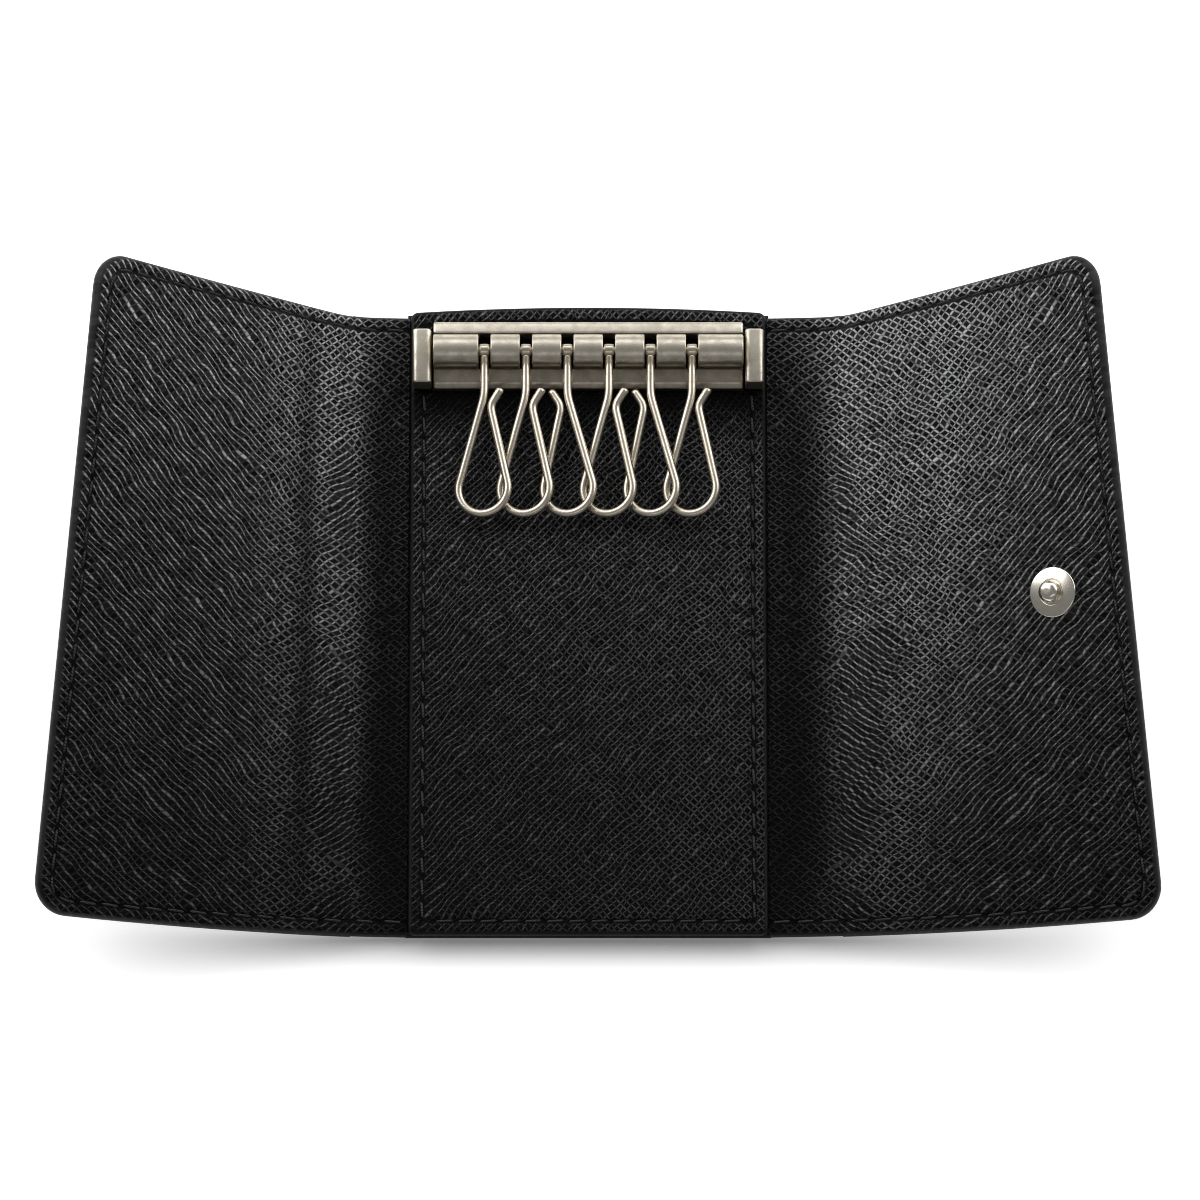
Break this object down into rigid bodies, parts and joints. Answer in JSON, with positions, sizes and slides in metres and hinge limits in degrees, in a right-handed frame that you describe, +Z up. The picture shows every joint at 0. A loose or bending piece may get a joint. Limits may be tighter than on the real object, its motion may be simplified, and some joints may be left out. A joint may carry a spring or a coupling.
{
  "type": "key case",
  "caption": "Folding leather key case lying open: a back panel with a hinged hook plate, two flaps on soft spines, and a press stud that closes them.",
  "frame": {"origin": "middle of the underside of the back panel, where the case lies", "axes": "+Z up out of the open case, +Y towards the key plate, +X towards the flap with the stud"},
  "size_m": [0.1703, 0.1, 0.0347],
  "materials": {
    "outer_leather": "black cross-grain leather, painted edges",
    "lining_leather": "black cross-grain leather, satin",
    "stiffener_board": "bonded leather board, hidden",
    "plate_metal": "nickel plate, satin with light wear",
    "hook_wire": "nickel-plated spring wire, bright",
    "snap_metal": "nickel plate, polished"
  },
  "bodies": {
    "back": {"back_outer": "outer_leather", "back_board": "stiffener_board", "back_lining": "lining_leather", "key_plate": "plate_metal", "hinge_pin": "plate_metal", "plate_rivets": "plate_metal", "left_end_clip": "plate_metal", "right_end_clip": "plate_metal"},
    "left_spine": {"left_spine_outer": "outer_leather", "left_spine_lining": "lining_leather"},
    "left_flap": {"left_flap_outer": "outer_leather", "left_flap_board": "stiffener_board", "left_flap_lining": "lining_leather", "snap_socket": "snap_metal", "snap_socket_post": "snap_metal"},
    "right_spine": {"right_spine_outer": "outer_leather", "right_spine_lining": "lining_leather"},
    "right_flap": {"right_flap_outer": "outer_leather", "right_flap_board": "stiffener_board", "right_flap_lining": "lining_leather", "snap_stud": "snap_metal", "snap_cap": "snap_metal"},
    "hook_1": {"hook_1": "hook_wire"},
    "hook_2": {"hook_2": "hook_wire"},
    "hook_3": {"hook_3": "hook_wire"},
    "hook_4": {"hook_4": "hook_wire"},
    "hook_5": {"hook_5": "hook_wire"},
    "hook_6": {"hook_6": "hook_wire"}
  },
  "joints": [
    {"name": "left_spine_fold", "type": "hinge", "parent": "back", "child": "left_spine", "pos_m": [-0.0278, 0, 0.002], "axis": [0, 1, 0], "range_deg": [-2, 86]},
    {"name": "left_flap_fold", "type": "hinge", "parent": "left_spine", "child": "left_flap", "pos_m": [-0.03638, 0, 0.0026], "axis": [0, 1, 0], "range_deg": [-6, 66.6], "deforming": ["left_flap_outer", "left_flap_board", "left_flap_lining"]},
    {"name": "right_spine_fold", "type": "hinge", "parent": "back", "child": "right_spine", "pos_m": [0.0278, 0, 0.002], "axis": [0, -1, 0], "range_deg": [-2, 86]},
    {"name": "right_flap_fold", "type": "hinge", "parent": "right_spine", "child": "right_flap", "pos_m": [0.03897, 0, 0.00278], "axis": [0, -1, 0], "range_deg": [-4, 64.5], "deforming": ["right_flap_outer", "right_flap_board", "right_flap_lining"]},
    {"name": "hook_1_swing", "type": "hinge", "parent": "back", "child": "hook_1", "pos_m": [-0.01613, 0.04315, 0.006], "axis": [-1, 0, 0], "range_deg": [0, 172]},
    {"name": "hook_2_swing", "type": "hinge", "parent": "back", "child": "hook_2", "pos_m": [-0.00967, 0.04315, 0.006], "axis": [-1, 0, 0], "range_deg": [0, 172]},
    {"name": "hook_3_swing", "type": "hinge", "parent": "back", "child": "hook_3", "pos_m": [-0.00323, 0.04315, 0.006], "axis": [-1, 0, 0], "range_deg": [0, 172]},
    {"name": "hook_4_swing", "type": "hinge", "parent": "back", "child": "hook_4", "pos_m": [0.00323, 0.04315, 0.006], "axis": [-1, 0, 0], "range_deg": [0, 172]},
    {"name": "hook_5_swing", "type": "hinge", "parent": "back", "child": "hook_5", "pos_m": [0.00967, 0.04315, 0.006], "axis": [-1, 0, 0], "range_deg": [0, 172]},
    {"name": "hook_6_swing", "type": "hinge", "parent": "back", "child": "hook_6", "pos_m": [0.01613, 0.04315, 0.006], "axis": [-1, 0, 0], "range_deg": [0, 172]}
  ]
}
